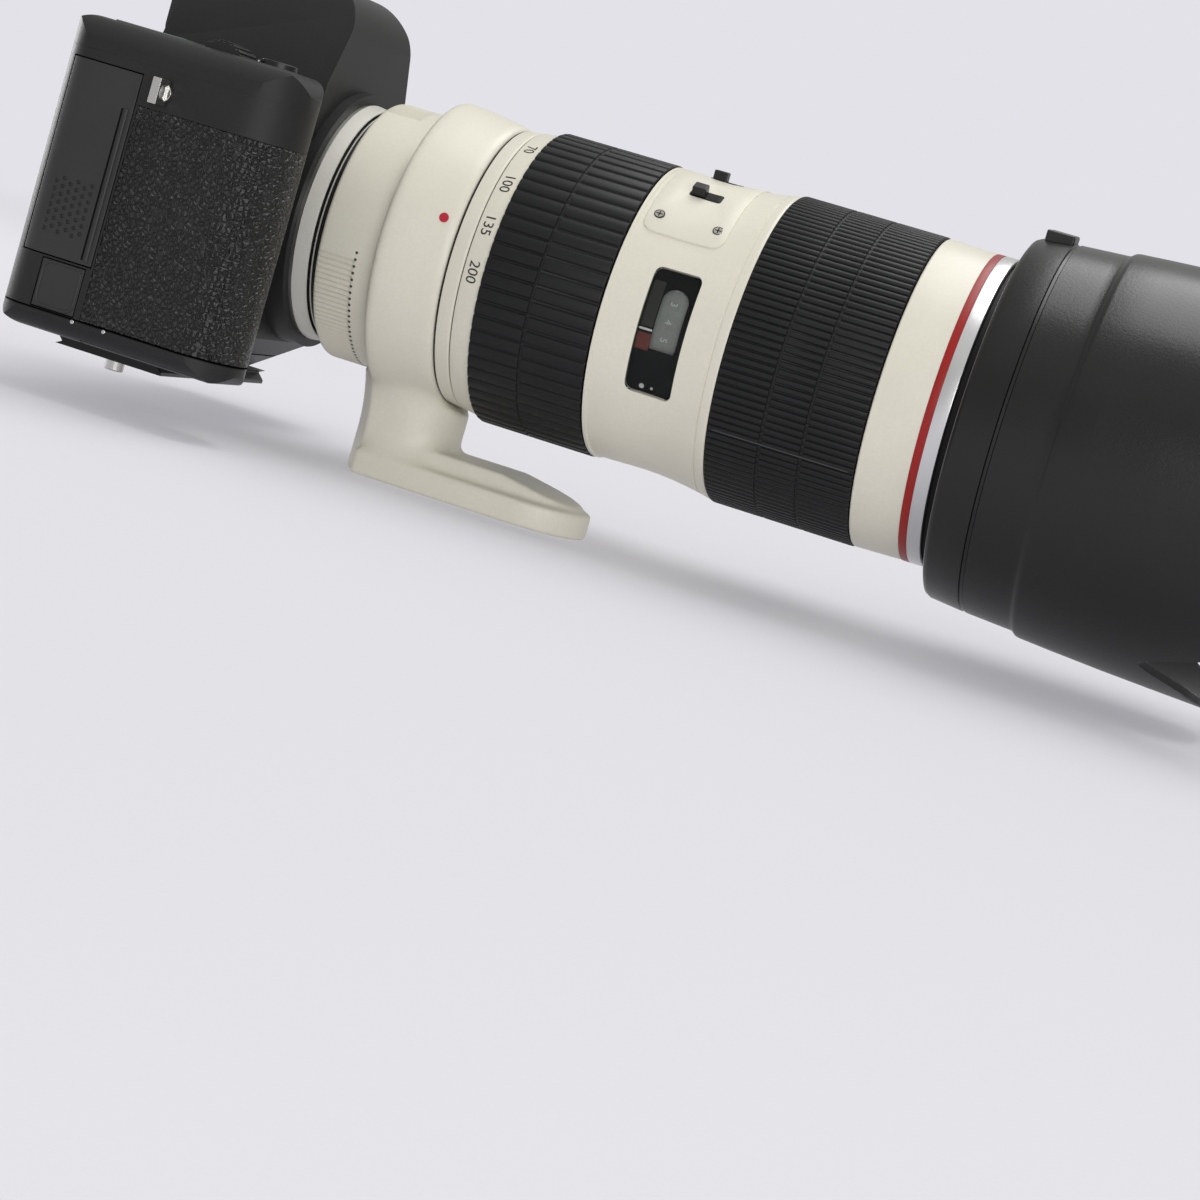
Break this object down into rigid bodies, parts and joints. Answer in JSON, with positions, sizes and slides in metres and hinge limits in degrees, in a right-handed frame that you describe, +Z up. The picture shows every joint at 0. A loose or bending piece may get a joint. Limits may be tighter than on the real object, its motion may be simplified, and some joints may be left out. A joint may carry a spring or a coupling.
{
  "type": "dslr camera",
  "caption": "Single-lens reflex camera with a white tele zoom lens, a tripod collar with a long foot, a deep petal hood and a plate under the body.",
  "frame": {"origin": "mouth of the smaller tripod socket in the underside of the lens foot", "axes": "+X along the optical axis towards the front of the lens, +Z up, the hand grip on the -Y side"},
  "size_m": [0.357, 0.167, 0.1346],
  "materials": {
    "casing_black": "fine grained matte",
    "casing_lower": "satin",
    "leather_rubber": "pebbled",
    "soft_rubber": "matte",
    "controls": "satin",
    "frame_grey": "matte",
    "mount_steel": "satin",
    "steel": "brushed",
    "mirror_glass": "polished",
    "sensor": "polished",
    "optical_glass": "coated",
    "screen_glass": "gloss",
    "deck_screen": "gloss",
    "battery_case": "satin",
    "plate_black": "anodised",
    "lens_white": "fine textured paint",
    "foot_white": "fine textured paint",
    "inner_black": "matte anodised",
    "ring_rubber": "ribbed",
    "window_clear": "gloss",
    "switch_white": "satin",
    "red_enamel": "satin",
    "name_silver": "satin",
    "hood_black": "satin grained"
  },
  "bodies": {
    "camera": {"front_case": "casing_black", "rear_cover": "casing_black", "top_cover": "casing_black", "base_cover": "casing_lower", "grip_rubber": "leather_rubber", "mirror_box": "frame_grey", "mount_ring": "mount_steel", "shutter_unit": "frame_grey", "image_sensor": "sensor", "pentaprism": "optical_glass", "eyepiece": "optical_glass", "eyecup": "soft_rubber", "rear_screen": "screen_glass", "top_screen": "deck_screen", "hot_shoe": "steel", "strap_lugs": "steel", "battery": "battery_case", "body_plate": "plate_black", "plate_studs": "steel"},
    "lens": {"lens_mount": "mount_steel", "rear_barrel": "lens_white", "core_tube": "inner_black", "mid_barrel": "lens_white", "window": "window_clear", "switch_panel": "lens_white", "panel_screws": "steel", "front_barrel": "lens_white", "red_ring": "red_enamel", "name_ring": "name_silver", "front_glass": "optical_glass"},
    "tripod_collar": {"collar": "foot_white"},
    "collar_knob": {"collar_knob": "plate_black"},
    "zoom": {"zoom_ring": "lens_white", "zoom_rubber": "ring_rubber"},
    "focus": {"focus_ring": "inner_black", "focus_rubber": "ring_rubber"},
    "distance_scale": {"distance_drum": "inner_black"},
    "focus_optics": {"focus_group": "optical_glass"},
    "zoom_optics": {"zoom_group": "optical_glass"},
    "switch_a": {"lens_switch_a": "switch_white"},
    "switch_b": {"lens_switch_b": "switch_white"},
    "hood": {"hood": "hood_black"},
    "hood_lock": {"hood_button": "casing_black"},
    "mirror": {"mirror": "mirror_glass"},
    "battery_door": {"battery_door": "casing_lower"},
    "card_door": {"card_door": "soft_rubber"},
    "cord_cover": {"cord_cover": "soft_rubber"},
    "port_cover": {"port_cover": "casing_black"},
    "shutter_button": {"shutter_button": "controls"},
    "main_dial": {"main_dial": "controls"},
    "mode_dial": {"mode_dial": "controls"},
    "power_switch": {"power_switch": "casing_black"},
    "top_button": {"top_button": "controls"},
    "rear_wheel": {"rear_wheel": "controls"},
    "set_button": {"set_button": "controls"},
    "joystick": {"joystick": "controls"},
    "menu_button": {"menu_button": "controls"},
    "play_button": {"play_button": "controls"},
    "lens_release": {"lens_release": "casing_lower"},
    "plate_screw": {"plate_screw": "steel"}
  },
  "joints": [
    {"name": "lens_lock", "type": "hinge", "parent": "camera", "child": "lens", "pos_m": [-0.062, 0, 0.0666], "axis": [1, 0, 0], "range_deg": [0, 60]},
    {"name": "collar_turn", "type": "hinge", "parent": "lens", "child": "tripod_collar", "pos_m": [-0.0245, 0, 0.0666], "axis": [1, 0, 0], "continuous": true},
    {"name": "collar_knob_turn", "type": "hinge", "parent": "tripod_collar", "child": "collar_knob", "pos_m": [-0.02455, 0.05, 0.0666], "axis": [0, 1, 0], "continuous": true},
    {"name": "zoom_turn", "type": "hinge", "parent": "lens", "child": "zoom", "pos_m": [0.013, 0, 0.0666], "axis": [1, 0, 0], "range_deg": [0, 78]},
    {"name": "focus_turn", "type": "hinge", "parent": "lens", "child": "focus", "pos_m": [0.088, 0, 0.0666], "axis": [1, 0, 0], "range_deg": [0, 120]},
    {"name": "scale_turn", "type": "hinge", "parent": "lens", "child": "distance_scale", "pos_m": [0.048, 0, 0.0666], "axis": [1, 0, 0], "range_deg": [0, 61]},
    {"name": "focus_glass_slide", "type": "slide", "parent": "lens", "child": "focus_optics", "axis": [1, 0, 0], "range_m": [-0.008, 0.008]},
    {"name": "zoom_glass_slide", "type": "slide", "parent": "lens", "child": "zoom_optics", "axis": [1, 0, 0], "range_m": [-0.005, 0.022]},
    {"name": "switch_a_slide", "type": "slide", "parent": "lens", "child": "switch_a", "axis": [1, 0, 0], "range_m": [0, 0.004]},
    {"name": "switch_b_slide", "type": "slide", "parent": "lens", "child": "switch_b", "axis": [1, 0, 0], "range_m": [0, 0.004]},
    {"name": "hood_twist", "type": "hinge", "parent": "lens", "child": "hood", "pos_m": [0.134, 0, 0.0666], "axis": [-1, 0, 0], "range_deg": [0, 60]},
    {"name": "hood_lock_press", "type": "slide", "parent": "hood", "child": "hood_lock", "axis": [0, 0.0663, -0.9978], "range_m": [0, 0.0015], "stiffness_N_per_m": 600},
    {"name": "mirror_flip", "type": "hinge", "parent": "camera", "child": "mirror", "pos_m": [-0.098, 0, 0.0811], "axis": [0, -1, 0], "range_deg": [0, 45], "stiffness_Nm_per_rad": 0.02, "springref_deg": -17.19},
    {"name": "battery_door_open", "type": "hinge", "parent": "camera", "child": "battery_door", "pos_m": [-0.0785, -0.057, 0.0171], "axis": [1, 0, 0], "range_deg": [0, 95]},
    {"name": "card_door_open", "type": "hinge", "parent": "camera", "child": "card_door", "pos_m": [-0.1185, -0.08035, 0.0636], "axis": [0, 0, -1], "range_deg": [0, 95]},
    {"name": "cord_cover_open", "type": "hinge", "parent": "camera", "child": "cord_cover", "pos_m": [-0.1114, -0.082, 0.0296], "axis": [0, 0, -1], "range_deg": [0, 100]},
    {"name": "port_cover_open", "type": "hinge", "parent": "camera", "child": "port_cover", "pos_m": [-0.088, 0.071, 0.0566], "axis": [0, 0, -1], "range_deg": [0, 100]},
    {"name": "shutter_press", "type": "slide", "parent": "camera", "child": "shutter_button", "axis": [0, 0, -1], "range_m": [0, 0.0015], "stiffness_N_per_m": 400},
    {"name": "main_dial_turn", "type": "hinge", "parent": "camera", "child": "main_dial", "pos_m": [-0.082, -0.066, 0.0976], "axis": [0, 1, 0], "continuous": true},
    {"name": "mode_dial_turn", "type": "hinge", "parent": "camera", "child": "mode_dial", "pos_m": [-0.096, 0.052, 0.1026], "axis": [0, 0, 1], "continuous": true},
    {"name": "power_turn", "type": "hinge", "parent": "camera", "child": "power_switch", "pos_m": [-0.096, 0.052, 0.1026], "axis": [0, 0, 1], "range_deg": [0, 40]},
    {"name": "top_button_press", "type": "slide", "parent": "camera", "child": "top_button", "axis": [0, 0, -1], "range_m": [0, 0.001], "stiffness_N_per_m": 400},
    {"name": "rear_wheel_turn", "type": "hinge", "parent": "camera", "child": "rear_wheel", "pos_m": [-0.123, -0.052, 0.0546], "axis": [1, 0, 0], "continuous": true},
    {"name": "set_press", "type": "slide", "parent": "camera", "child": "set_button", "axis": [1, 0, 0], "range_m": [0, 0.001], "stiffness_N_per_m": 400},
    {"name": "joystick_tilt", "type": "hinge", "parent": "camera", "child": "joystick", "pos_m": [-0.122, -0.05, 0.0786], "axis": [0, 1, 0], "range_deg": [-8, 8], "stiffness_Nm_per_rad": 0.02},
    {"name": "menu_press", "type": "slide", "parent": "camera", "child": "menu_button", "axis": [1, 0, 0], "range_m": [0, 0.001], "stiffness_N_per_m": 400},
    {"name": "play_press", "type": "slide", "parent": "camera", "child": "play_button", "axis": [1, 0, 0], "range_m": [0, 0.001], "stiffness_N_per_m": 400},
    {"name": "lens_release_press", "type": "slide", "parent": "camera", "child": "lens_release", "axis": [-1, 0, 0], "range_m": [0, 0.002], "stiffness_N_per_m": 400},
    {"name": "plate_screw_turn", "type": "hinge", "parent": "camera", "child": "plate_screw", "pos_m": [-0.0975, 0, 0.0146], "axis": [0, 0, 1], "continuous": true}
  ],
  "couplings": [
    {"joint": "scale_turn", "follows": "focus_turn", "ratio": 0.5},
    {"joint": "focus_glass_slide", "follows": "focus_turn", "m_per_rad": 0.0035},
    {"joint": "zoom_glass_slide", "follows": "zoom_turn", "m_per_rad": 0.014}
  ]
}
